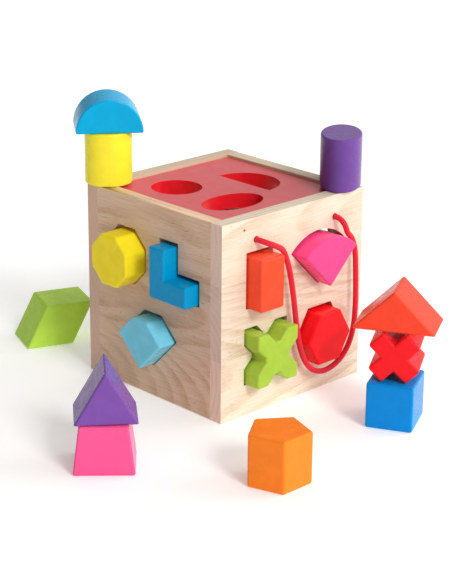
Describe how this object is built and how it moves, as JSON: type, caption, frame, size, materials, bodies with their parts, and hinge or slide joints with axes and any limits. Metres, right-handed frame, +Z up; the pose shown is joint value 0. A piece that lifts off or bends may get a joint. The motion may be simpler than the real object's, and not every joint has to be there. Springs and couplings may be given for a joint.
{
  "type": "wooden shape sorter",
  "caption": "Wooden box whose sides and hinged lid have shaped holes for matching painted blocks, with a hanging cord handle; some blocks sit in their holes, others stand on and around it.",
  "frame": {"origin": "centre of the underside of the box", "axes": "+Z up; -Y out of the front board, which has the cord; +X towards the free edge of the lid"},
  "size_m": [0.2904, 0.3553, 0.2135],
  "materials": {
    "bare_wood": "clear satin lacquer on sanded rubberwood",
    "lid_red": "satin paint over wood",
    "pin_steel": "bright wire",
    "cord_red": "braided, soft sheen",
    "paint_yellow": "gloss paint",
    "paint_blue": "gloss paint",
    "paint_sky": "gloss paint",
    "paint_orange_red": "gloss paint",
    "paint_magenta": "gloss paint",
    "paint_lime": "gloss paint",
    "paint_red": "gloss paint",
    "paint_purple": "gloss paint",
    "paint_green": "gloss paint",
    "paint_pink": "gloss paint",
    "paint_orange": "gloss paint",
    "paint_azure": "gloss paint"
  },
  "bodies": {
    "box": {"front_panel": "bare_wood", "back_panel": "bare_wood", "left_panel": "bare_wood", "right_panel": "bare_wood", "base_panel": "bare_wood", "lid_hinge_pins": "pin_steel", "lid_rest_strip": "bare_wood", "carry_cord": "cord_red", "cord_knots": "cord_red"},
    "lid": {"lid": "lid_red"},
    "yellow_octagon_block": {"yellow_octagon_block": "paint_yellow"},
    "blue_l_block": {"blue_l_block": "paint_blue"},
    "sky_pentagon_block": {"sky_pentagon_block": "paint_sky"},
    "orange_rectangle_block": {"orange_rectangle_block": "paint_orange_red"},
    "pink_fan_block": {"pink_fan_block": "paint_magenta"},
    "green_x_block": {"green_x_block": "paint_lime"},
    "red_hexagon_block": {"red_hexagon_block": "paint_red"},
    "yellow_round_block": {"yellow_round_block": "paint_yellow"},
    "blue_half_round_block": {"blue_half_round_block": "paint_blue"},
    "purple_oval_block": {"purple_oval_block": "paint_purple"},
    "green_rhombus_block": {"green_rhombus_block": "paint_green"},
    "pink_trapezoid_block": {"pink_trapezoid_block": "paint_pink"},
    "purple_triangle_block": {"purple_triangle_block": "paint_purple"},
    "orange_pentagon_block": {"orange_pentagon_block": "paint_orange"},
    "blue_square_block": {"blue_square_block": "paint_azure"},
    "red_cross_block": {"red_cross_block": "paint_red"},
    "red_gable_block": {"red_gable_block": "paint_orange_red"}
  },
  "joints": [
    {"name": "lid_hinge", "type": "hinge", "parent": "box", "child": "lid", "pos_m": [-0.0508, 0, 0.14085], "axis": [0, -1, 0], "range_deg": [0, 110]},
    {"name": "octagon_push", "type": "slide", "parent": "box", "child": "yellow_octagon_block", "axis": [-1, 0, 0], "range_m": [-0.018, 0.02]},
    {"name": "l_push", "type": "slide", "parent": "box", "child": "blue_l_block", "axis": [-1, 0, 0], "range_m": [-0.012, 0.026]},
    {"name": "sky_pentagon_push", "type": "slide", "parent": "box", "child": "sky_pentagon_block", "axis": [-1, 0, 0], "range_m": [-0.014, 0.024]},
    {"name": "rectangle_pull", "type": "slide", "parent": "box", "child": "orange_rectangle_block", "axis": [0, -1, 0], "range_m": [0, 0.0238]},
    {"name": "fan_push", "type": "slide", "parent": "box", "child": "pink_fan_block", "axis": [0, -1, 0], "range_m": [-0.0136, 0.0243]},
    {"name": "x_push", "type": "slide", "parent": "box", "child": "green_x_block", "axis": [0, -1, 0], "range_m": [-0.0136, 0.0243]},
    {"name": "hexagon_push", "type": "slide", "parent": "box", "child": "red_hexagon_block", "axis": [0, -1, 0], "range_m": [-0.0116, 0.0263]},
    {"name": "round_lift", "type": "slide", "parent": "box", "child": "yellow_round_block", "axis": [0, 0, 1], "range_m": [0, 0.16]},
    {"name": "half_round_lift", "type": "slide", "parent": "yellow_round_block", "child": "blue_half_round_block", "axis": [0, 0, 1], "range_m": [0, 0.06]},
    {"name": "oval_lift", "type": "slide", "parent": "box", "child": "purple_oval_block", "axis": [0, 0, 1], "range_m": [0, 0.24]},
    {"name": "rhombus_lift", "type": "slide", "parent": "box", "child": "green_rhombus_block", "axis": [0, 0, 1], "range_m": [0, 0.08]},
    {"name": "trapezoid_lift", "type": "slide", "parent": "box", "child": "pink_trapezoid_block", "axis": [0, 0, 1], "range_m": [0, 0.08]},
    {"name": "triangle_lift", "type": "slide", "parent": "pink_trapezoid_block", "child": "purple_triangle_block", "axis": [0, 0, 1], "range_m": [0, 0.06]},
    {"name": "pentagon_lift", "type": "slide", "parent": "box", "child": "orange_pentagon_block", "axis": [0, 0, 1], "range_m": [0, 0.08]},
    {"name": "square_lift", "type": "slide", "parent": "box", "child": "blue_square_block", "axis": [0, 0, 1], "range_m": [0, 0.08]},
    {"name": "cross_lift", "type": "slide", "parent": "blue_square_block", "child": "red_cross_block", "axis": [0, 0, 1], "range_m": [0, 0.06]},
    {"name": "gable_lift", "type": "slide", "parent": "red_cross_block", "child": "red_gable_block", "axis": [0, 0, 1], "range_m": [0, 0.06]}
  ],
  "couplings": [
    {"joint": "round_lift", "follows": "lid_hinge", "m_per_rad": 0.08},
    {"joint": "oval_lift", "follows": "lid_hinge", "m_per_rad": 0.12}
  ]
}
